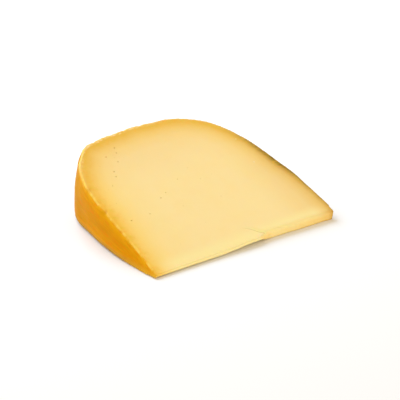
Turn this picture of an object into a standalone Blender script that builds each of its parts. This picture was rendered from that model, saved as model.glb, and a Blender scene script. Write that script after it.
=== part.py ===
"""A wedge of coated farmhouse cheese, lying on one of its two cut faces.

The wedge is a slice of a round wheel. The wheel's axis lies along X at the wedge's thin edge, and the two
cuts meet there at a small angle. Left, right and far sides are the wheel's own rind; the lower cut lies on
the table and the upper one slopes up from the thin edge to the rim.

Frame: metres, +Z up, +Y from the thin edge to the rim, origin at the middle of the base.
"""

import math

import bmesh
import bpy
import numpy as np
from mathutils import Vector, noise

# The wheel that the wedge was cut from
WHEEL_RADIUS = 0.097
LEFT_HALF, LEFT_SIDE_POWER, LEFT_RIM_POWER = 0.0550, 3.70, 4.40
RIGHT_HALF, RIGHT_SIDE_POWER, RIGHT_RIM_POWER = 0.0563, 3.00, 2.60
OUTLINE_SAMPLES = 721
NORMAL_REACH = 0.002

# The two cuts: the angle between them, how much wider it opens towards +X, and the blunt thin edge
CUT_ANGLE = math.radians(22.4)
CUT_TWIST = math.radians(0.8)
EDGE_HEIGHT_LEFT = 0.0017
EDGE_HEIGHT_RIGHT = 0.0046

# The thin edge: a lip that bows off the table, a notch that slants back, and a broken face set back
NOTCH_FROM, NOTCH_TO = 0.0083, 0.0134
LIP_RISE_END, LIP_RISE_NOTCH = 0.0006, 0.0020
LIP_FROM_SHARE = 0.33
BREAK_SETBACK_NOTCH = 0.0017
BREAK_SETBACK_END = 0.0005
BREAK_RISE = 0.0001
BREAK_ROUGHNESS, BREAK_WAVES, BREAK_SEED = 0.00035, 25.0, 7.0
DAMAGE_REACH = 0.014

# The rind's relief: it swells between the cuts, and its face is uneven
RIND_SWELL = 0.0008
SWELL_POWER = 6
SWELL_FULL_AT = 0.030
BROAD_WAVE, BROAD_DEPTH = 0.038, 0.0005
FINE_WAVE, FINE_DEPTH = 0.010, 0.0004
FLAT_END_SHARE = 0.10

# The left side leans in towards its upper edge, most a quarter of the way from the thin edge to the rim
LEAN_AT, LEAN_REACH = 0.023, 0.025
LEAN_DEPTH, LEAN_LEVEL = 0.0034, 0.40

# Dents in the rind: share of the way round the outline, share of the way up, reach and depth; the last bulges
RIND_DENTS = (
    (0.385, 0.95, 0.0090, 0.0009),
    (0.450, 1.00, 0.0050, 0.0007),
    (0.345, 0.10, 0.0060, 0.0008),
    (0.600, 0.45, 0.0110, 0.0009),
    (0.805, 0.85, 0.0180, 0.0014),
    (0.228, 0.10, 0.0120, 0.0009),
    (0.366, 0.95, 0.0065, -0.0020),
)

# The upper cut face is nearly flat, with the slow wander of the wire that cut it
WIRE_WAVE, WIRE_WANDER = 0.045, 0.0004

# The grid: cells along the thin edge, from it to the rim, and between the cuts
CELLS_ALONG, CELLS_OUT, CELLS_UP = 44, 32, 8
NOTCH_PULL_WIDTH = 0.014

RIND_COLOUR = (0.72, 0.29, 0.012, 1.0)
RIND_ROUGHNESS = 0.45


def clear_scene():
    """Removes what the scene holds, so that the model stands alone."""
    for thing in list(bpy.data.objects):
        bpy.data.objects.remove(thing, do_unlink=True)


def smooth_step(share):
    """0 below 0, 1 above 1, with a smooth rise between."""
    share = min(1.0, max(0.0, share))
    return share * share * (3.0 - 2.0 * share)


def mix(low, high, share):
    """The value a share of the way from low to high."""
    return low + (high - low) * share


class WheelOutline:
    """Half section of the wheel: a superellipse from the thin edge's left end, over the rim, to its right.

    The left shoulder is squarer than the right one. Points are read by their distance along the outline.
    """

    def __init__(self):
        turn = np.linspace(0.0, math.pi, OUTLINE_SAMPLES)
        across, out = np.cos(turn), np.sin(turn).clip(0.0)
        left = across > 0.0
        side_power = np.where(left, LEFT_SIDE_POWER, RIGHT_SIDE_POWER)
        rim_power = np.where(left, LEFT_RIM_POWER, RIGHT_RIM_POWER)
        half = np.where(left, LEFT_HALF, RIGHT_HALF)
        self.x = -np.sign(across) * half * np.abs(across) ** (2 / side_power)
        self.r = WHEEL_RADIUS * out ** (2 / rim_power)
        steps = np.hypot(np.diff(self.x), np.diff(self.r))
        self.run = np.concatenate([[0.0], np.cumsum(steps)])
        self.length = float(self.run[-1])
        quarter = OUTLINE_SAMPLES // 4
        self.left_shoulder = float(self.run[quarter])
        self.right_shoulder = float(self.run[-1 - quarter])

    def point(self, distance):
        """(x, r) at this distance along the outline."""
        return np.array([np.interp(distance, self.run, self.x), np.interp(distance, self.run, self.r)])

    def outward(self, distance):
        """Unit vector out of the wheel at this distance, in the (x, r) plane."""
        ahead = self.point(min(distance + NORMAL_REACH, self.length))
        behind = self.point(max(distance - NORMAL_REACH, 0.0))
        along = ahead - behind
        return np.array([-along[1], along[0]]) / np.hypot(*along)


def edge_share(x):
    """How far along the thin edge x lies, from 0 at the left end to 1 at the right."""
    return (x + LEFT_HALF) / (LEFT_HALF + RIGHT_HALF)


def edge_height(x):
    """Height of the blunt thin edge before its damage."""
    return mix(EDGE_HEIGHT_LEFT, EDGE_HEIGHT_RIGHT, edge_share(x))


def break_setback(x, height_share):
    """How far the notch, and the broken face right of it, stand back from the thin edge."""
    slanted = min(1.0, max(0.0, (x - NOTCH_FROM) / (NOTCH_TO - NOTCH_FROM)))
    broken = max(0.0, (x - NOTCH_TO) / (RIGHT_HALF - NOTCH_TO))
    setback = mix(BREAK_SETBACK_NOTCH, BREAK_SETBACK_END, broken)
    rough = noise.noise(Vector((edge_share(x) * BREAK_WAVES, height_share, BREAK_SEED)))
    return slanted * (setback + BREAK_ROUGHNESS * rough)


def underside_rise(x):
    """How far the underside of the thin edge stands off the table."""
    share, notch_share = edge_share(x), edge_share(NOTCH_FROM)
    bowed = smooth_step((share - LIP_FROM_SHARE) / (notch_share - LIP_FROM_SHARE))
    slanted = min(1.0, max(0.0, (x - NOTCH_FROM) / (NOTCH_TO - NOTCH_FROM)))
    broken = BREAK_RISE * (1.0 - smooth_step((x - NOTCH_TO) / (RIGHT_HALF - NOTCH_TO)))
    return mix(mix(LIP_RISE_END, LIP_RISE_NOTCH, bowed), broken, slanted)


def between_cuts(x, r, up):
    """The point at radius r that lies a share `up` of the way from the lower cut to the upper one."""
    near_edge = max(0.0, 1.0 - r / DAMAGE_REACH)
    r = r + break_setback(x, up) * near_edge
    angle = up * (CUT_ANGLE + CUT_TWIST * (2.0 * edge_share(x) - 1.0))
    blunt = edge_height(x) * (1.0 - min(r / WHEEL_RADIUS, 1.0))
    z = up * blunt + r * math.sin(angle)
    z += underside_rise(x) * near_edge ** 2 * (1.0 - up)
    return Vector((x, r * math.cos(angle), z))


def rind_relief(outline, distance, up):
    """How far the rind stands out of the plain wheel: its swell between the cuts, unevenness and dents."""
    x, r = outline.point(distance)
    place = between_cuts(x, r, up)
    swell = RIND_SWELL * (1.0 - abs(2.0 * up - 1.0) ** SWELL_POWER) * smooth_step(r / SWELL_FULL_AT)
    share = distance / outline.length
    fade = smooth_step(min(share, 1.0 - share) / FLAT_END_SHARE)
    uneven = BROAD_DEPTH * noise.noise(place / BROAD_WAVE) + FINE_DEPTH * noise.noise(place / FINE_WAVE)
    dent = 0.0
    for dent_share, dent_up, reach, depth in RIND_DENTS:
        centre = between_cuts(*outline.point(dent_share * outline.length), dent_up)
        dent += depth * math.exp(-((place - centre).length / reach) ** 2)
    lean = LEAN_DEPTH * math.exp(-((distance - LEAN_AT) / LEAN_REACH) ** 2) * (LEAN_LEVEL - up)
    return swell + fade * uneven + lean - dent


def rind_point(outline, distance, up):
    """(x, r) on the finished rind."""
    return outline.point(distance) + outline.outward(distance) * rind_relief(outline, distance, up)


def layer_point(outline, along, out, up):
    """(x, r) in one layer of the wedge: a patch stretched between the thin edge, two sides and the rim."""
    left = rind_point(outline, out * outline.left_shoulder, up)
    right = rind_point(outline, mix(outline.length, outline.right_shoulder, out), up)
    rim = rind_point(outline, mix(outline.left_shoulder, outline.right_shoulder, along), up)
    edge_ends = rind_point(outline, 0.0, up), rind_point(outline, outline.length, up)
    rim_ends = rind_point(outline, outline.left_shoulder, up), rind_point(outline, outline.right_shoulder, up)
    edge = mix(*edge_ends, along)
    corners = mix(mix(*edge_ends, along), mix(*rim_ends, along), out)
    return mix(edge, rim, out) + mix(left, right, along) - corners


def notch_columns(along, out):
    """Draws the grid's columns onto the notch's two ends at the thin edge, so that its corners are sharp."""
    offset = min((edge_share(end) - along for end in (NOTCH_FROM, NOTCH_TO)), key=abs)
    pull = math.exp(-((offset / NOTCH_PULL_WIDTH) ** 2)) * (1.0 - out) ** 2
    return along + offset * pull


def wire_wander(point, up):
    """The upper cut's slow unevenness."""
    return up * WIRE_WANDER * noise.noise(Vector((point.x, point.y, 0.0)) / WIRE_WAVE)


def gridded_block():
    """A unit block cut into the wedge's grid, from one cube primitive."""
    block = bmesh.new()
    bmesh.ops.create_cube(block, size=1.0)
    for axis, cells in enumerate((CELLS_ALONG, CELLS_OUT, CELLS_UP)):
        for cut in range(1, cells):
            normal = Vector((0.0, 0.0, 0.0))
            normal[axis] = 1.0
            bmesh.ops.bisect_plane(
                block,
                geom=block.verts[:] + block.edges[:] + block.faces[:],
                plane_co=normal * (cut / cells - 0.5),
                plane_no=normal,
            )
    return block


def shape_wedge(block):
    """Moves the block's grid onto the wedge."""
    outline = WheelOutline()
    for vertex in block.verts:
        along, out, up = (share + 0.5 for share in vertex.co)
        up = 0.5 - 0.5 * math.cos(math.pi * up)
        along = notch_columns(along, out)
        x, r = layer_point(outline, along, out, up)
        point = between_cuts(x, max(r, 0.0), up)
        point.z += wire_wander(point, up)
        vertex.co = point


def rest_at_origin(block):
    """Puts the origin at the middle of the base, on the lowest point."""
    places = np.array([vertex.co for vertex in block.verts])
    low, high = places.min(axis=0), places.max(axis=0)
    middle = (low + high) / 2
    bmesh.ops.translate(block, verts=block.verts, vec=(-middle[0], -middle[1], -low[2]))


def cheese_material():
    """The coated rind's deep yellow."""
    material = bpy.data.materials.new("cheese")
    material.use_nodes = True
    shader = material.node_tree.nodes["Principled BSDF"]
    shader.inputs["Base Color"].default_value = RIND_COLOUR
    shader.inputs["Roughness"].default_value = RIND_ROUGHNESS
    shader.inputs["Metallic"].default_value = 0.0
    return material


def main():
    clear_scene()
    collection = bpy.data.collections.new("cheese_wedge")
    bpy.context.scene.collection.children.link(collection)
    block = gridded_block()
    shape_wedge(block)
    rest_at_origin(block)
    bmesh.ops.recalc_face_normals(block, faces=block.faces)
    mesh = bpy.data.meshes.new("cheese_wedge")
    block.to_mesh(mesh)
    block.free()
    mesh.materials.append(cheese_material())
    wedge = bpy.data.objects.new("cheese_wedge", mesh)
    collection.objects.link(wedge)


main()
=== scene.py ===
"""A thin wedge of coated semi-hard cheese, lying on a cut face on a white studio floor.

One closed skin dresses the solid. Its paste shows on the cuts, with pinholes, a crack and a broken thin edge.
Its rind carries a brushed-on coat. Both colours follow how far a point lies from the border between cut and
rind.
"""

import math
import random

import bmesh
import bpy
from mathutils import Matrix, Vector, noise
from mathutils.bvhtree import BVHTree


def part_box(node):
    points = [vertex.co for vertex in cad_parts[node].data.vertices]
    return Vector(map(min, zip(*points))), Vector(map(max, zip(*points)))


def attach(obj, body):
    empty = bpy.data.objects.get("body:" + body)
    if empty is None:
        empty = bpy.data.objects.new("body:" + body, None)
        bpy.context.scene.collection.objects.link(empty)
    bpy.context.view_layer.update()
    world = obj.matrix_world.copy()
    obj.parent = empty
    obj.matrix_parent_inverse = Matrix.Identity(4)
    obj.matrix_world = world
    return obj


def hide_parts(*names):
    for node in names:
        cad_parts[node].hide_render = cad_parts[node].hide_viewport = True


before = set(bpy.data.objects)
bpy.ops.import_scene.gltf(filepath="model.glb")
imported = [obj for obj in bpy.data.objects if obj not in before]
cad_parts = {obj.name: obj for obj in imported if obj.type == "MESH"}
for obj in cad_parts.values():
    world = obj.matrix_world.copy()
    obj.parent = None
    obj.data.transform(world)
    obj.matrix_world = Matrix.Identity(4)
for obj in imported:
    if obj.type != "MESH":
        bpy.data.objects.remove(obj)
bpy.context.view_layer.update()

NODE = "cheese_wedge"
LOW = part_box(NODE)[0]
MM = 0.001

# How a face's side is told: by its normal, or by its place along the thin edge
CUT_NORMAL_Z = 0.8
THIN_EDGE_NORMAL_Y, THIN_EDGE_REACH = -0.7, 2.6 * MM
THIN_EDGE_MIDDLE, DAMAGE_REACH = 50.0 * MM, 16.0 * MM
UPPER_CUT_NORMAL = Vector((0, -0.38, 0.925))

# The skin's even faces, and how often it is relaxed, which wears its edges slightly round
JOIN_REACH, SKIN_FACE = 0.001 * MM, 0.62 * MM
RELAXINGS, RELAXING = 3, 0.5

# The coat's waves and its finer brush marks, which fade out within RELIEF_FADE millimetres onto the cuts
COAT_WAVE, COAT_WAVE_DEPTH = 9.0 * MM, 0.16 * MM
BRUSH_WAVE, BRUSH_DEPTH, BRUSH_FINER_DOWN = 3.6 * MM, 0.07 * MM, 2.5
RELIEF_FADE = 3.0

# The rind's foot is worn round, least by the thin edge, and slopes in at the right end of that edge
FOOT_ROUND, FOOT_GROWS, FOOT_LEAST = 1.5 * MM, 30.0 * MM, 0.1
END_SLOPE, END_SLOPE_TOP, END_SLOPE_REACH = 0.42, 3.8 * MM, 16.0 * MM

# The left rim's upper edge is chipped within CHIP_REACH millimetres of the border, and its shoulder is dented
CHIP_WAVE, CHIP_DEPTH, CHIP_REACH = 2.3 * MM, 0.9 * MM, 2.0
CHIP_FROM_Z, CHIP_FROM, CHIP_GROWS = 10 * MM, 28 * MM, 20 * MM
SHOULDER_DENT = Vector((-42.0, 34.0, 35.0)) * MM
SHOULDER_DENT_DEPTH, SHOULDER_DENT_REACH = 1.5 * MM, 9 * MM

# The broken facet: where it starts at the notch, its crumbly grain, and its crumbled upper edge
NOTCH_FROM, NOTCH_TO, NOTCH_BLEND = 8.3 * MM, 13.4 * MM, 2.5 * MM
FACET_SIDE_Y = -44 * MM
BREAK_NORMAL_Y, BREAK_WAVE, BREAK_DEPTH = -0.5, 2.4 * MM, 0.10 * MM
BREAK_FALLOFF, BREAK_FINER, BREAK_LAYERS = 1.0, 2.0, 2
FACET_WEAR, FACET_WEAR_REACH, FACET_TOP_Z = 14, 1.9 * MM, 4.4 * MM

# How the material tells the facet by its normal, and how much more of it shows in the notch
FACET_NORMAL_Y, FACET_NORMAL_FADE, NOTCH_EXTRA = -0.8, 0.5, 1.6

# Pinholes of the upper cut, and crumbs that stand on it, in millimetres: x, y, radius and depth
PINHOLES = (
    (-33.3, 16.2, 0.56, 0.36),
    (-31.0, 26.6, 0.42, 0.50),
    (-23.2, 30.7, 0.44, 0.45),
    (-27.3, 21.5, 0.40, 0.40),
    (-34.4, 12.8, 0.42, 0.40),
    (-24.4, 27.2, 0.38, 0.40),
    (-22.2, -7.9, 0.42, 0.50),
    (-17.7, -5.7, 0.38, 0.40),
    (-44.8, -15.4, 0.46, 0.45),
    (-33.8, -15.0, 0.36, 0.35),
    (-6.4, 0.0, 0.34, 0.35),
    (-39.8, 7.9, 0.32, 0.30),
    (3.6, 4.8, 0.30, 0.30),
    (5.0, -4.2, 0.32, 0.30),
    (12.5, -3.6, 0.28, 0.25),
    (7.1, -18.2, 0.32, 0.30),
    (-15.1, -16.5, 0.30, 0.25),
    (-11.3, -29.8, 0.28, 0.25),
)
CRUMBS = (
    (39.6, -4.4, 0.60, -0.12),
    (42.0, 13.7, 0.45, -0.10),
)
BOWL_CURVE = 0.7

# Finer pinholes, scattered from a fixed seed over a round part of the cut, more of them towards its left rim,
# in millimetres
FINE_PINHOLES, FINE_SEED = 26, 11
FINE_X, FINE_Y, FINE_RADIUS = (-46, 44), (-38, 36), (0.15, 0.26)
FINE_MIDDLE_Y, FINE_REACH, FINE_THINNING = -10, 50, 180

# How far round each pinhole and the crack the skin's faces are divided, and by how many cuts
REFINE_REACH, REFINE_CUTS = 0.5 * MM, 3

# The crack behind the end of the lip, in millimetres: x, y and depth along it
CRACK = (
    (2.6, -39.9, 0.00),
    (4.4, -41.0, 0.16),
    (6.6, -42.6, 0.34),
    (8.2, -44.4, 0.48),
    (9.4, -45.8, 0.58),
    (11.0, -46.8, 0.62),
    (12.2, -47.6, 0.60),
)

# Its gentle uphill side and its steep other side, the line of painted shade at its bottom, and the depth at
# which painted shade looks fully dark
CRACK_SIDE_Y = -36 * MM
CRACK_UPHILL, CRACK_DOWNHILL, CRACK_CURVE = 2.6 * MM, 0.5 * MM, 1.6
CRACK_LINE, CRACK_LINE_SHADE, FULL_DEPTH = 0.45 * MM, 1.1, 0.3 * MM
LIP_END = Vector((8.5, -46.9, 2.7)) * MM

# Depth under the rind that the paste's colours cover, height that the coat's cover, and the wheel's radius
DEPTH_SPAN, COAT_SPAN, RIM_MM = 32.0, 16.0, 97.0

# The camera stands where the photograph was taken from
CAMERA_TARGET = Vector((0.00348, -0.00573, 0.00942))
CAMERA_AZIMUTH, CAMERA_ELEVATION = math.radians(-37.309), math.radians(23.19)
CAMERA_DISTANCE = 0.6311
LENS_MM, SENSOR_MM = 112.7, 36.0

# The studio: a warm soft room, a cooler key from behind, a low fill from the front, and a floor pale as paper
ROOM_STRENGTH, ROOM_COLOUR = 0.71, "#FFF1D8"
KEY_PLACE, KEY_WATTS, KEY_SIDE, KEY_COLOUR = Vector((-0.03, 0.77, 0.60)), 12.6, 0.80, "#D4E6FF"
FILL_PLACE, FILL_WATTS, FILL_SIDE, FILL_COLOUR = Vector((0.10, -1.00, 0.16)), 2.4, 0.40, "#FFF8EE"
FLOOR_SIDE, FLOOR_GAP = 8.0, 0.02 * MM


# Modelling

def open_mesh(piece):
    """Opens one piece in edit mode with nothing selected."""
    bpy.ops.object.select_all(action="DESELECT")
    piece.select_set(True)
    bpy.context.view_layer.objects.active = piece
    bpy.ops.object.mode_set(mode="EDIT")
    bpy.ops.mesh.select_mode(type="FACE")
    bpy.ops.mesh.select_all(action="DESELECT")


def close_mesh():
    """Leaves edit mode."""
    bpy.ops.object.mode_set(mode="OBJECT")


def is_rind(normal, centre):
    """Whether a face is rind: it stands up, and isn't on the thin edge."""
    if abs(normal.z) > CUT_NORMAL_Z:
        return False
    if abs(centre.x) < THIN_EDGE_MIDDLE and centre.y < LOW.y + DAMAGE_REACH:
        return False
    return normal.y > THIN_EDGE_NORMAL_Y or centre.y > LOW.y + THIN_EDGE_REACH


def surfaces_of_solid():
    """The solid's rind and its cuts as two surfaces to measure from."""
    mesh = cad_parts[NODE].data
    points = [vertex.co.copy() for vertex in mesh.vertices]
    rind, cuts = [], []
    for face in mesh.polygons:
        (rind if is_rind(face.normal, face.center) else cuts).append(tuple(face.vertices))
    return BVHTree.FromPolygons(points, rind), BVHTree.FromPolygons(points, cuts)


def even_skin(name):
    """A copy of the wedge's solid as one closed skin of small even faces, its edges slightly worn."""
    skin = bpy.data.objects.new(name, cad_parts[NODE].data.copy())
    bpy.context.scene.collection.objects.link(skin)
    skin.data.materials.clear()
    open_mesh(skin)
    bpy.ops.mesh.select_all(action="SELECT")
    bpy.ops.mesh.customdata_custom_splitnormals_clear()
    bpy.ops.mesh.remove_doubles(threshold=JOIN_REACH)
    close_mesh()
    skin.data.remesh_voxel_size = SKIN_FACE
    skin.data.remesh_voxel_adaptivity = 0
    bpy.ops.object.voxel_remesh()
    open_mesh(skin)
    bpy.ops.mesh.select_all(action="SELECT")
    bpy.ops.mesh.vertices_smooth(factor=RELAXING, repeat=RELAXINGS)
    wear_facet(skin)
    close_mesh()
    return skin


def wear_facet(skin):
    """Rounds the broken facet's upper edge in the open mesh, as crumbs have come off it."""
    bpy.ops.mesh.select_all(action="DESELECT")
    mesh = bmesh.from_edit_mesh(skin.data)
    for face in mesh.faces:
        centre = face.calc_center_median()
        on_edge = centre.x > NOTCH_FROM and centre.y < LOW.y + THIN_EDGE_REACH + FACET_WEAR_REACH
        if on_edge and abs(centre.z - FACET_TOP_Z) < FACET_WEAR_REACH:
            face.select_set(True)
    bmesh.update_edit_mesh(skin.data)
    bpy.ops.mesh.vertices_smooth(factor=RELAXING, repeat=FACET_WEAR)


def all_pinholes():
    """The pinholes and crumbs that the cut shows clearly, and finer holes scattered over it, in metres."""
    chance = random.Random(FINE_SEED)
    holes = [tuple(value * MM for value in hole) for hole in PINHOLES + CRUMBS]
    while len(holes) < len(PINHOLES) + len(CRUMBS) + FINE_PINHOLES:
        x = chance.uniform(*FINE_X)
        y = chance.uniform(*FINE_Y)
        radius = chance.uniform(*FINE_RADIUS)
        toward_left_rim = 0.5 + (y - x) / FINE_THINNING
        off_middle = math.hypot(x / FINE_REACH, (y - FINE_MIDDLE_Y) / FINE_REACH)
        if chance.random() < toward_left_rim ** 2 and off_middle < 1:
            holes.append((x * MM, y * MM, radius * MM, radius * MM))
    return holes


def crack_place(point):
    """Where a point lies by the crack: how far uphill of it, and how deep the crack is beside the point."""
    nearest = None
    for (x0, y0, depth0), (x1, y1, depth1) in zip(CRACK, CRACK[1:]):
        start, end = Vector((x0, y0)) * MM, Vector((x1, y1)) * MM
        along = end - start
        offset = Vector((point.x, point.y)) - start
        share = min(1.0, max(0.0, offset.dot(along) / along.length_squared))
        across = offset - along * share
        if nearest is None or across.length < nearest[0]:
            uphill = along.x * offset.y - along.y * offset.x > 0
            depth = depth0 + (depth1 - depth0) * share
            nearest = across.length, across.length if uphill else -across.length, depth * MM
    return nearest[1], nearest[2]


def refine(skin, holes):
    """Divides the faces round the pinholes and the crack finely enough to carry them."""
    open_mesh(skin)
    mesh = bmesh.from_edit_mesh(skin.data)
    for face in mesh.faces:
        if face.normal.z < CUT_NORMAL_Z:
            continue
        centre = face.calc_center_median()
        by_hole = any(
            math.hypot(centre.x - x, centre.y - y) < radius + REFINE_REACH
            for x, y, radius, _ in holes
        )
        uphill, depth = crack_place(centre) if centre.y < CRACK_SIDE_Y else (0.0, 0.0)
        if by_hole or (depth > 0 and -CRACK_DOWNHILL - REFINE_REACH < uphill < CRACK_UPHILL):
            face.select_set(True)
    bmesh.update_edit_mesh(skin.data)
    bpy.ops.mesh.subdivide(number_cuts=REFINE_CUTS)
    close_mesh()


def bowl(share):
    """The depth of a pinhole, between none and one, at a share of its radius from its middle."""
    return (1 - share * share) ** BOWL_CURVE


def crack_profile(uphill):
    """How deep the crack is at a distance uphill of it: a gentle slope above, and a steep one below."""
    reach = CRACK_UPHILL if uphill > 0 else CRACK_DOWNHILL
    share = min(1.0, abs(uphill) / reach)
    return (1 - share) ** CRACK_CURVE


def smooth_fade(value, full):
    """One up to zero and nothing from the full distance on, with soft ends."""
    share = min(1.0, max(0.0, value / full))
    return 1 - share * share * (3 - 2 * share)


def outward_of(normal):
    """The level direction that a normal of the rind points in."""
    return Vector((normal.x, normal.y, 0)).normalized()


def sunk_depths(point, facing, holes):
    """How deep a point lies in a pinhole and in the crack, and how far uphill of the crack it lies."""
    hole_depth = crack_depth = uphill = 0.0
    if facing.z > CUT_NORMAL_Z:
        for x, y, radius, depth in holes:
            share = math.hypot(point.x - x, point.y - y) / radius
            if share < 1:
                hole_depth = bowl(share) * depth
        if point.y < CRACK_SIDE_Y:
            uphill, depth = crack_place(point)
            crack_depth = crack_profile(uphill) * depth
    return hole_depth, crack_depth, uphill


def foot_inset(point):
    """How far the rind's foot is worn back: by a quarter round, and by a slope at the thin edge's right end."""
    radius = FOOT_ROUND * min(1.0, max(FOOT_LEAST, (point.y - LOW.y) / FOOT_GROWS))
    inset = radius - math.sqrt(radius ** 2 - max(0.0, radius - max(0.0, point.z)) ** 2)
    if point.x > 0:
        inset += END_SLOPE * max(0.0, END_SLOPE_TOP - point.z) * smooth_fade(point.y - LOW.y, END_SLOPE_REACH)
    return inset


def coat_relief(point):
    """How far out a point of the rind moves, by the coat's waves, the brush marks, the worn foot and the dent."""
    brushed = Vector((point.x, point.y, point.z * BRUSH_FINER_DOWN)) / BRUSH_WAVE
    wave = COAT_WAVE_DEPTH * noise.noise(point / COAT_WAVE) + BRUSH_DEPTH * noise.noise(brushed)
    dent = SHOULDER_DENT_DEPTH * smooth_fade((point - SHOULDER_DENT).length, SHOULDER_DENT_REACH)
    return wave - foot_inset(point) - dent


def chipped_off(point, outward, edge_distance):
    """What the chips take off the left rim's upper edge at a point, square to both of its faces."""
    by_left_rim = 1 - smooth_fade(point.y - point.x - CHIP_FROM, CHIP_GROWS)
    on_edge = smooth_fade(abs(edge_distance), CHIP_REACH)
    chip = max(0.0, noise.noise(point / CHIP_WAVE)) * by_left_rim * on_edge
    return (UPPER_CUT_NORMAL + outward) * CHIP_DEPTH * chip


def facet_relief(point, facing):
    """How far the facet's grain moves a point back, and how much broken paste shows there."""
    if point.y >= FACET_SIDE_Y or point.x <= NOTCH_FROM:
        return 0.0, 0.0
    grain = in_notch = 0.0
    if facing.y < BREAK_NORMAL_Y:
        grain = BREAK_DEPTH * noise.fractal(point / BREAK_WAVE, BREAK_FALLOFF, BREAK_FINER, BREAK_LAYERS)
        in_notch = smooth_fade(point.x - NOTCH_TO, NOTCH_BLEND)
    facet = smooth_fade(facing.y - FACET_NORMAL_Y, FACET_NORMAL_FADE)
    return grain, facet * (1 + NOTCH_EXTRA * in_notch)


def shape_relief(skin, holes, rind, cuts):
    """Moves the skin's points to their relief, and keeps on the mesh what the material asks of each point.

    That is how far it lies from the border in millimetres, positive on the rind and negative on the cuts, how
    much painted shade it gets in a pit or on the crack's line, and how much of it is torn paste or broken facet.
    A crumb is a pit of negative depth.
    """
    moved = []
    kept = {"from_rind_edge": [], "pit": [], "torn": [], "broken_face": []}
    for vertex in skin.data.vertices:
        point, facing = vertex.co.copy(), vertex.normal.copy()
        _, normal, _, to_rind = rind.find_nearest(point)
        to_cut = cuts.find_nearest(point)[3]
        edge_distance = (to_cut - to_rind) / MM
        outward = outward_of(normal)
        hole_depth, crack_depth, uphill = sunk_depths(point, facing, holes)
        place = point - UPPER_CUT_NORMAL * (hole_depth + crack_depth)
        fade = smooth_fade(-edge_distance, RELIEF_FADE)
        if fade > 0:
            place += outward * coat_relief(point) * fade
        if abs(edge_distance) < CHIP_REACH and point.z > CHIP_FROM_Z:
            place -= chipped_off(point, outward, edge_distance)
        grain, broken = facet_relief(point, facing)
        place.y += grain
        moved.extend(place)

        # The pit share is painted shade: darker in the pinholes and along the line at the crack's bottom
        opened = min(1.0, crack_depth / FULL_DEPTH)
        on_line = smooth_fade(uphill - CRACK_LINE / 2, CRACK_LINE / 2)
        kept["from_rind_edge"].append(edge_distance)
        kept["pit"].append(min(1.0, hole_depth / FULL_DEPTH) + CRACK_LINE_SHADE * opened * on_line)
        kept["torn"].append(opened * (1 - on_line))
        kept["broken_face"].append(broken)
    skin.data.vertices.foreach_set("co", moved)
    for name, values in kept.items():
        skin.data.attributes.new(name, "FLOAT", "POINT").data.foreach_set("value", values)


def shape_cheese():
    """The wedge's skin with all its relief."""
    skin = even_skin("cheese")
    holes = all_pinholes()
    refine(skin, holes)
    shape_relief(skin, holes, *surfaces_of_solid())
    skin.data.shade_smooth()
    return skin


# Materials

def linear(code):
    """A linear colour from an sRGB hex code."""
    parts = [int(code[place:place + 2], 16) / 255 for place in (1, 3, 5)]
    return (*[part / 12.92 if part <= 0.04045 else ((part + 0.055) / 1.055) ** 2.4 for part in parts], 1.0)


def add_node(tree, kind, inputs=None, stops=(), **settings):
    """Adds a node with its settings.

    An input gets a value or is linked to another node's output, and a colour ramp gets its colour stops.
    """
    node = tree.nodes.new(kind)
    for name, value in settings.items():
        setattr(node, name, value)
    for name, value in (inputs or {}).items():
        if isinstance(value, bpy.types.NodeSocket):
            tree.links.new(value, node.inputs[name])
        else:
            node.inputs[name].default_value = value
    for count, (place, code) in enumerate(stops):
        element = node.color_ramp.elements[count] if count < 2 else node.color_ramp.elements.new(place)
        element.position, element.color = place, linear(code)
    return node


# Colours of the paste by millimetres under the wheel's flat sides, under its rim, and on its right side, where
# they are darker with painted shade. A ramp's first and last stop come first.
PASTE_UNDER_SIDE = (
    (0.0, "#F3BE4C"),
    (30.0, "#FEE2A3"),
    (1.5, "#F1BF4B"),
    (3.0, "#F6C95E"),
    (5.0, "#FBD171"),
    (8.0, "#FCD881"),
    (12.0, "#FDDD90"),
    (18.0, "#FDE09B"),
)
# Under the rim the first stop is paler: a painted highlight on the rounded border
PASTE_UNDER_RIM = (
    (0.0, "#E6C072"),
    (30.0, "#F8DA9D"),
    (1.5, "#E8BA55"),
    (3.0, "#EABA4C"),
    (5.0, "#EDC05C"),
    (8.0, "#F2CB74"),
    (12.0, "#F5D388"),
    (18.0, "#F7D896"),
)
PASTE_RIGHT_SHADED = (
    (0.0, "#806A2C"),
    (30.0, "#F9DDA0"),
    (1.4, "#967830"),
    (2.4, "#B99340"),
    (3.4, "#D4AA55"),
    (5.4, "#E8C270"),
    (8.4, "#F0CD81"),
    (13.0, "#F4D592"),
)

# Colours of the coat by millimetres below the upper cut, lighter in the top few millimetres as a painted
# highlight on the rounded upper edge
COAT_COLOURS = (
    (0.0, "#F9C444"),
    (16.0, "#DC9004"),
    (0.8, "#F3B41C"),
    (2.0, "#EEA90A"),
    (3.5, "#E79C03"),
    (5.5, "#E29503"),
    (9.0, "#DF9203"),
)

# Curd: faint warmer patches of the paste, and the golden band's mottles by millimetres across, hue and
# strength
WARM_CURD = "#FBD67F"
MOTTLES = ((3.4, "#E3BD3A", 0.45), (2.2, "#F4B040", 0.40))

# Hues of single places of the paste, and how strongly three of them show. The foot's hue is painted contact
# shade along the broken facet's foot, and the pits' hue painted shade in the pinholes and on the crack's line
PALE_FLECK_PASTE, THIN_PASTE, FOOT_CONTACT_SHADE = "#FBD898", "#FFEBA8", "#E6A566"
LIP_END_PASTE, BROKEN_PASTE, TORN_PASTE = "#FDE8BC", "#F9CC6A", "#FFF4AC"
PIT_SHADE_OLIVE, CRUMB_PASTE = "#B8963F", "#FBE8BC"
TORN_SHOWS, PIT_SHOWS, CRUMB_SHOWS = 0.80, 0.30, -1.5

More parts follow.
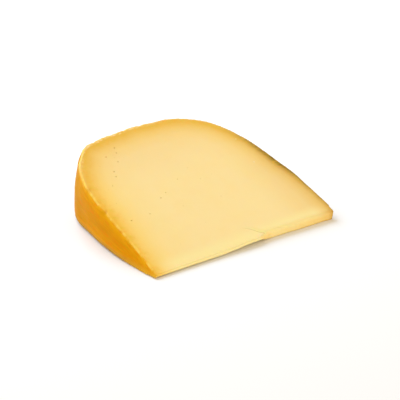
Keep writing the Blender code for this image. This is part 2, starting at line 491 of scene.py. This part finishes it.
# Brush streaks and short blotches of the coat: millimetres long and wide, hue and strength
STREAKS = (
    (16.0, 2.2, "#F2AA00", 0.45),
    (11.0, 2.6, "#D48D00", 0.40),
    (4.5, 3.4, "#EE8000", 0.50),
    (3.4, 2.6, "#D29600", 0.45),
)
STREAKS_MEET_Y = LOW.y - 2 * MM
# Coat tints: darker to the rim; painted shade at the foot and right end; painted highlights on the rim edge and
# border
RIM_AMBER, FOOT_SHADE_TAN, RIM_EDGE_HIGHLIGHT = "#BC7F00", "#AE8644", "#FBD276"
RIGHT_END_SHADE_BROWN, BORDER_HIGHLIGHT = "#A8782A", "#FFD866"

# How large the patterns are: the golden band's ragged border, the curd's patches, the pale flecks and how far
# inside the border in millimetres, the gaps of the painted highlight line on the border of cut and coat, the
# grain and the gloss
RAGGED_SIZE, PATCH_SIZE, FLECK_SIZE, FLECKS_INSIDE = 2.6 * MM, 9 * MM, 2.8 * MM, 1.2
GAP_SIZE, GRAIN_SIZE, GRAIN_DEPTH, GLOSS_SIZE = 9 * MM, 0.9 * MM, 0.05 * MM, 4 * MM
FLOOR_WHITE, FLOOR_ROUGHNESS = "#F7F7F7", 0.9


def tinted(tree, colour, tints):
    """The colour turned towards each hue in turn, by the product of the shares that come with the hue."""
    for code, share, *others in tints:
        for other in others:
            share = add_node(tree, "ShaderNodeMath", {0: share, 1: other}, operation="MULTIPLY").outputs[0]
        colour = {0: share, 6: colour, 7: linear(code)}
        colour = add_node(tree, "ShaderNodeMix", colour, data_type="RGBA").outputs[2]
    return colour


def paste_depth(tree, place, axes, from_edge):
    """Millimetres under the rind, with a ragged border, and up to two more near the thin edge."""
    ragged = add_node(tree, "ShaderNodeTexNoise", {"Vector": place, "Scale": 1 / RAGGED_SIZE}).outputs[0]
    ragged = {0: ragged, 1: 1.2, 2: -0.6}
    ragged = add_node(tree, "ShaderNodeMath", ragged, operation="MULTIPLY_ADD").outputs[0]
    tip = {"Value": axes["Y"], "From Min": -12 * MM, "From Max": -32 * MM, "To Max": 2.0}
    tip = add_node(tree, "ShaderNodeMapRange", tip).outputs[0]
    shift = add_node(tree, "ShaderNodeMath", {0: ragged, 1: tip}).outputs[0]
    return add_node(tree, "ShaderNodeMath", {0: shift, 1: from_edge}, operation="SUBTRACT").outputs[0]


def banded_paste(tree, axes, depth):
    """Butter yellow paste: golden and drier towards the rind, with painted shade on the right, greyer under the
    rim.
    """
    share = add_node(tree, "ShaderNodeMath", {0: depth, 1: DEPTH_SPAN}, operation="DIVIDE").outputs[0]
    bands = []
    for colours in (PASTE_UNDER_SIDE, PASTE_RIGHT_SHADED, PASTE_UNDER_RIM):
        stops = [(mm / DEPTH_SPAN, code) for mm, code in colours]
        bands.append(add_node(tree, "ShaderNodeValToRGB", {"Fac": share}, stops).outputs["Color"])
    colour = bands[0]
    # Towards the right the darker band takes over: painted shade of the border that turns from the light
    for band, fade in (
        (bands[1], {"Value": axes["X"], "From Min": 20 * MM, "From Max": 50 * MM}),
        (bands[2], {"Value": axes["Y"], "From Min": -4 * MM, "From Max": 32 * MM}),
    ):
        fade = add_node(tree, "ShaderNodeMapRange", fade, interpolation_type="SMOOTHSTEP").outputs[0]
        colour = {0: fade, 6: colour, 7: band}
        colour = add_node(tree, "ShaderNodeMix", colour, data_type="RGBA").outputs[2]
    return colour


def paste_colour(tree, place, axes, from_edge):
    """The paste's bands with the curd's faint warmer patches, and finer mottling of the golden band."""
    depth = paste_depth(tree, place, axes, from_edge)
    patches = {"Vector": place, "Scale": 1 / PATCH_SIZE, "Detail": 3}
    patches = add_node(tree, "ShaderNodeTexNoise", patches).outputs[0]
    patches = {"Value": patches, "From Min": 0.45, "From Max": 0.75, "To Max": 0.15}
    tints = [(WARM_CURD, add_node(tree, "ShaderNodeMapRange", patches).outputs[0])]
    in_band = {"Value": depth, "From Min": 8, "From Max": 1}
    in_band = add_node(tree, "ShaderNodeMapRange", in_band, interpolation_type="SMOOTHSTEP").outputs[0]
    for size, code, strength in MOTTLES:
        mottle = {"Vector": place, "Scale": 1 / (size * MM), "Detail": 3}
        mottle = add_node(tree, "ShaderNodeTexNoise", mottle).outputs[0]
        mottle = {"Value": mottle, "From Min": 0.5, "From Max": 0.7, "To Max": strength}
        tints.append((code, add_node(tree, "ShaderNodeMapRange", mottle).outputs[0], in_band))
    return tinted(tree, banded_paste(tree, axes, depth), tints)


def pale_flecks(tree, place, axes, from_edge):
    """Shares of the pale flecks in a broken line inside the rim, on its left half."""
    flecks = {"Vector": place, "Scale": 1 / FLECK_SIZE, "Detail": 4, "Roughness": 0.7}
    flecks = add_node(tree, "ShaderNodeTexNoise", flecks).outputs[0]
    off_line = add_node(tree, "ShaderNodeMath", {0: from_edge, 1: FLECKS_INSIDE}).outputs[0]
    off_line = add_node(tree, "ShaderNodeMath", {0: off_line}, operation="ABSOLUTE").outputs[0]
    leftward = add_node(tree, "ShaderNodeMath", {0: axes["Y"], 1: axes["X"]}, operation="SUBTRACT").outputs[0]
    shares = []
    for fade in (
        {"Value": flecks, "From Min": 0.48, "From Max": 0.60, "To Max": 0.95},
        {"Value": off_line, "From Min": 1.1, "From Max": 0.3},
        {"Value": leftward, "From Min": 22 * MM, "From Max": 55 * MM},
        {"Value": axes["Y"], "From Min": 22 * MM, "From Max": 32 * MM},
    ):
        shares.append(add_node(tree, "ShaderNodeMapRange", fade).outputs[0])
    return shares


def worn_and_shaded_paste(tree, place, axes, from_edge, colour):
    """The paste's flecks, thin, broken and torn places and crumbs, with painted shade at the facet's foot and in
    pits.
    """
    thin = {"Value": axes["Y"], "From Min": -40 * MM, "From Max": -46 * MM, "To Max": 0.75}
    thin = add_node(tree, "ShaderNodeMapRange", thin, interpolation_type="SMOOTHSTEP").outputs[0]
    off_lip_end = {0: place, 1: LIP_END}
    off_lip_end = add_node(tree, "ShaderNodeVectorMath", off_lip_end, operation="DISTANCE").outputs["Value"]
    shares = {
        "inside": {"Value": from_edge, "From Min": -3, "From Max": -12},
        # Painted contact shade along the foot of the broken facet
        "foot": {"Value": axes["Z"], "From Min": 0.9 * MM, "From Max": 0.1 * MM, "To Max": 0.35},
        "lip_end": {"Value": off_lip_end, "From Min": 2.2 * MM, "From Max": 0.8 * MM, "To Max": 0.7},
        "golden": {
            "Value": axes["X"], "From Min": 20 * MM, "From Max": 44 * MM, "To Min": 0.18, "To Max": 0.48,
        },
        "before_end": {"Value": axes["X"], "From Min": 55 * MM, "From Max": 50.5 * MM},
        # The golden fades towards the facet's top, which leaves a paler band there: a painted highlight on its
        # upper edge
        "under_top": {"Value": axes["Z"], "From Min": 4.2 * MM, "From Max": 2.6 * MM, "To Min": 0.2},
    }
    for name, fade in shares.items():
        shares[name] = add_node(tree, "ShaderNodeMapRange", fade).outputs[0]
    for name in ("broken_face", "torn", "pit"):
        shares[name] = add_node(tree, "ShaderNodeAttribute", attribute_name=name).outputs["Fac"]
    tints = (
        (PALE_FLECK_PASTE, *pale_flecks(tree, place, axes, from_edge)),
        (THIN_PASTE, thin, shares["inside"]),
        (FOOT_CONTACT_SHADE, shares["foot"], shares["broken_face"]),
        (LIP_END_PASTE, shares["lip_end"]),
        (BROKEN_PASTE, shares["golden"], shares["before_end"], shares["under_top"], shares["broken_face"]),
        (TORN_PASTE, shares["torn"], TORN_SHOWS),
        (PIT_SHADE_OLIVE, shares["pit"], PIT_SHOWS),
        (CRUMB_PASTE, shares["pit"], CRUMB_SHOWS),
    )
    return tinted(tree, colour, tints)


def brushed_coat(tree, axes, from_edge):
    """Deep golden amber coat, with a painted highlight under the upper cut, brush streaks and short blotches."""
    share = add_node(tree, "ShaderNodeMath", {0: from_edge, 1: COAT_SPAN}, operation="DIVIDE").outputs[0]
    stops = [(mm / COAT_SPAN, code) for mm, code in COAT_COLOURS]
    colour = add_node(tree, "ShaderNodeValToRGB", {"Fac": share}, stops).outputs["Color"]
    along = add_node(tree, "ShaderNodeMath", {0: axes["X"], 1: axes["Y"]}).outputs[0]
    radius = add_node(tree, "ShaderNodeMath", {0: axes["Y"], 1: -STREAKS_MEET_Y}).outputs[0]
    turn = add_node(tree, "ShaderNodeMath", {0: axes["Z"], 1: radius}, operation="ARCTAN2").outputs[0]
    tints = []
    for length, width, code, strength in STREAKS:
        down = add_node(tree, "ShaderNodeMath", {0: turn, 1: RIM_MM / width}, operation="MULTIPLY").outputs[0]
        run = {0: along, 1: 1 / (length * MM)}
        run = add_node(tree, "ShaderNodeMath", run, operation="MULTIPLY").outputs[0]
        spot = add_node(tree, "ShaderNodeCombineXYZ", {"X": run, "Y": down, "Z": width}).outputs[0]
        streak = add_node(tree, "ShaderNodeTexNoise", {"Vector": spot, "Scale": 1.0, "Detail": 2}).outputs[0]
        streak = {"Value": streak, "From Min": 0.5, "From Max": 0.72, "To Max": strength}
        streak = add_node(tree, "ShaderNodeMapRange", streak, interpolation_type="SMOOTHSTEP").outputs[0]
        tints.append((code, streak))
    return tinted(tree, colour, tints)


def coat_colour(tree, axes, from_edge):
    """The brushed coat, darker towards the rim, with painted shade at its foot, browner at the right end, and a
    painted rim-edge highlight.
    """
    edge = {"Value": from_edge, "From Min": 2.6, "From Max": 0.8}
    edge = add_node(tree, "ShaderNodeMapRange", edge, interpolation_type="SMOOTHSTEP").outputs[0]
    shares = {
        "by_rim": {"Value": axes["Y"], "From Min": 12 * MM, "From Max": 30 * MM, "To Max": 0.6},
        # Painted shade at the coat's foot, where the floor meets it, weaker towards the tip
        "low": {"Value": axes["Z"], "From Min": 3.6 * MM, "From Max": 0.8 * MM, "To Max": 0.8},
        "off_tip": {"Value": axes["Y"], "From Min": -42 * MM, "From Max": -12 * MM, "To Min": 0.25},
        # A painted highlight along the rim's upper edge
        "rim_highlight": {"Value": axes["Y"], "From Min": 12 * MM, "From Max": 26 * MM, "To Max": 0.85},
        "high": {"Value": axes["Z"], "From Min": 3 * MM, "From Max": 10 * MM},
        # Painted shade at the right end, where the rind turns from the light
        "right_end_shade": {"Value": axes["X"], "From Min": 45 * MM, "From Max": 55 * MM, "To Max": 0.75},
    }
    for name, fade in shares.items():
        shares[name] = add_node(tree, "ShaderNodeMapRange", fade).outputs[0]
    tints = (
        (RIM_AMBER, shares["by_rim"]),
        (FOOT_SHADE_TAN, shares["low"], shares["off_tip"]),
        (RIM_EDGE_HIGHLIGHT, edge, shares["high"], shares["rim_highlight"]),
        (RIGHT_END_SHADE_BROWN, shares["right_end_shade"]),
    )
    return tinted(tree, brushed_coat(tree, axes, from_edge), tints)


def highlighted_border(tree, axes, from_edge, colour):
    """The colour with a painted highlight line on the border of cut and coat, which comes and goes on the left
    side.
    """
    off_line = add_node(tree, "ShaderNodeMath", {0: from_edge, 1: -0.2}).outputs[0]
    off_line = add_node(tree, "ShaderNodeMath", {0: off_line}, operation="ABSOLUTE").outputs[0]
    on_line = {"Value": off_line, "From Min": 0.9, "From Max": 0.2}
    on_line = add_node(tree, "ShaderNodeMapRange", on_line, interpolation_type="SMOOTHSTEP").outputs[0]
    gaps = {"W": axes["Y"], "Scale": 1 / GAP_SIZE, "Detail": 3, "Roughness": 0.6}
    gaps = add_node(tree, "ShaderNodeTexNoise", gaps, noise_dimensions="1D").outputs[0]
    shares = [on_line]
    for fade in (
        {"Value": gaps, "From Min": 0.42, "From Max": 0.58, "To Max": 0.9},
        {"Value": axes["X"], "From Min": 10 * MM, "From Max": -30 * MM},
        {"Value": axes["Z"], "From Min": 1.4 * MM, "From Max": 2.8 * MM},
    ):
        shares.append(add_node(tree, "ShaderNodeMapRange", fade).outputs[0])
    return tinted(tree, colour, [(BORDER_HIGHLIGHT, *shares)])


def coated_cheese():
    """Semi-hard cheese, wire cut, in a brushed-on coat: a satin paste smooth with fat, and wax of low gloss."""
    material = bpy.data.materials.new("semi_hard_cheese_with_brushed_coat")
    material.use_nodes = True
    tree = material.node_tree
    tree.nodes.clear()
    place = add_node(tree, "ShaderNodeTexCoord").outputs["Object"]
    axes = add_node(tree, "ShaderNodeSeparateXYZ", {"Vector": place}).outputs
    from_edge = add_node(tree, "ShaderNodeAttribute", attribute_name="from_rind_edge").outputs["Fac"]
    is_coat = {"Value": from_edge, "From Min": -0.25, "From Max": 0.15}
    is_coat = add_node(tree, "ShaderNodeMapRange", is_coat, interpolation_type="SMOOTHSTEP").outputs[0]
    paste = paste_colour(tree, place, axes, from_edge)
    paste = worn_and_shaded_paste(tree, place, axes, from_edge, paste)
    colour = {0: is_coat, 6: paste, 7: coat_colour(tree, axes, from_edge)}
    colour = add_node(tree, "ShaderNodeMix", colour, data_type="RGBA").outputs[2]
    colour = highlighted_border(tree, axes, from_edge, colour)

    # The grain stands for curd and wax grain finer than the picture shows, and is stronger on the coat
    grain = add_node(tree, "ShaderNodeTexNoise", {"Vector": place, "Scale": 1 / GRAIN_SIZE}).outputs[0]
    amount = add_node(tree, "ShaderNodeMath", {0: is_coat, 1: 0.25}).outputs[0]
    grain = add_node(tree, "ShaderNodeMath", {0: grain, 1: amount}, operation="MULTIPLY").outputs[0]
    bump = add_node(tree, "ShaderNodeBump", {"Height": grain, "Strength": 0.5, "Distance": GRAIN_DEPTH})

    # Fat and wax spread unevenly, so the gloss varies; light passes into the paste, red furthest
    gloss = add_node(tree, "ShaderNodeTexNoise", {"Vector": place, "Scale": 1 / GLOSS_SIZE}).outputs[0]
    gloss = {"Value": gloss, "From Min": 0.3, "From Max": 0.7, "To Min": 0.44, "To Max": 0.58}
    inputs = {
        "Base Color": colour,
        "Roughness": add_node(tree, "ShaderNodeMapRange", gloss).outputs[0],
        "IOR": 1.45,
        "Specular IOR Level": 0.03,
        "Subsurface Weight": 0.4,
        "Subsurface Radius": (0.8, 0.55, 0.25),
        "Subsurface Scale": 2.0 * MM,
        "Normal": bump.outputs["Normal"],
    }
    shader = add_node(tree, "ShaderNodeBsdfPrincipled", inputs)
    add_node(tree, "ShaderNodeOutputMaterial", {"Surface": shader.outputs["BSDF"]})
    return material


def white_floor_paint():
    """Matt white studio board: nothing but a soft contact shadow shows on it."""
    material = bpy.data.materials.new("matt_white_board")
    material.use_nodes = True
    shader = material.node_tree.nodes["Principled BSDF"]
    shader.inputs["Base Color"].default_value = linear(FLOOR_WHITE)
    shader.inputs["Roughness"].default_value = FLOOR_ROUGHNESS
    shader.inputs["Specular IOR Level"].default_value = 0.0
    return material


# Studio

def lay_floor():
    """A white floor just under the wedge."""
    bpy.ops.object.select_all(action="DESELECT")
    bpy.ops.mesh.primitive_plane_add(size=FLOOR_SIDE, location=(0, 0, -FLOOR_GAP))
    floor = bpy.context.object
    floor.name = "studio_floor"
    floor.data.materials.append(white_floor_paint())


def hang_lamp(place, watts, side, colour):
    """A square soft box that faces the wedge."""
    bpy.ops.object.light_add(type="AREA", location=place)
    lamp = bpy.context.object
    lamp.data.energy = watts
    lamp.data.size = side
    lamp.data.color = linear(colour)[:3]
    lamp.rotation_euler = place.to_track_quat("Z", "Y").to_euler()


def light_studio():
    """A warm even room, one broad cooler key from behind and above, and a weak low fill from the front."""
    world = bpy.data.worlds.new("bright_room")
    world.use_nodes = True
    background = world.node_tree.nodes["Background"]
    background.inputs["Color"].default_value = linear(ROOM_COLOUR)
    background.inputs["Strength"].default_value = ROOM_STRENGTH
    bpy.context.scene.world = world
    hang_lamp(KEY_PLACE, KEY_WATTS, KEY_SIDE, KEY_COLOUR)
    hang_lamp(FILL_PLACE, FILL_WATTS, FILL_SIDE, FILL_COLOUR)


def place_camera():
    """The camera at the photograph's viewing angle."""
    level = math.cos(CAMERA_ELEVATION)
    across, along = math.sin(CAMERA_AZIMUTH) * level, -math.cos(CAMERA_AZIMUTH) * level
    back = Vector((across, along, math.sin(CAMERA_ELEVATION)))
    camera = bpy.data.objects.new("camera", bpy.data.cameras.new("camera"))
    camera.location = CAMERA_TARGET + back * CAMERA_DISTANCE
    camera.rotation_euler = back.to_track_quat("Z", "Y").to_euler()
    camera.data.lens = LENS_MM
    camera.data.sensor_width = SENSOR_MM
    bpy.context.scene.collection.objects.link(camera)
    bpy.context.scene.camera = camera


# The whole scene

cheese = shape_cheese()
cheese.data.materials.append(coated_cheese())
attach(cheese, "root")
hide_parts(NODE)
lay_floor()
light_studio()
place_camera()
bpy.context.scene.view_settings.view_transform = "Standard"
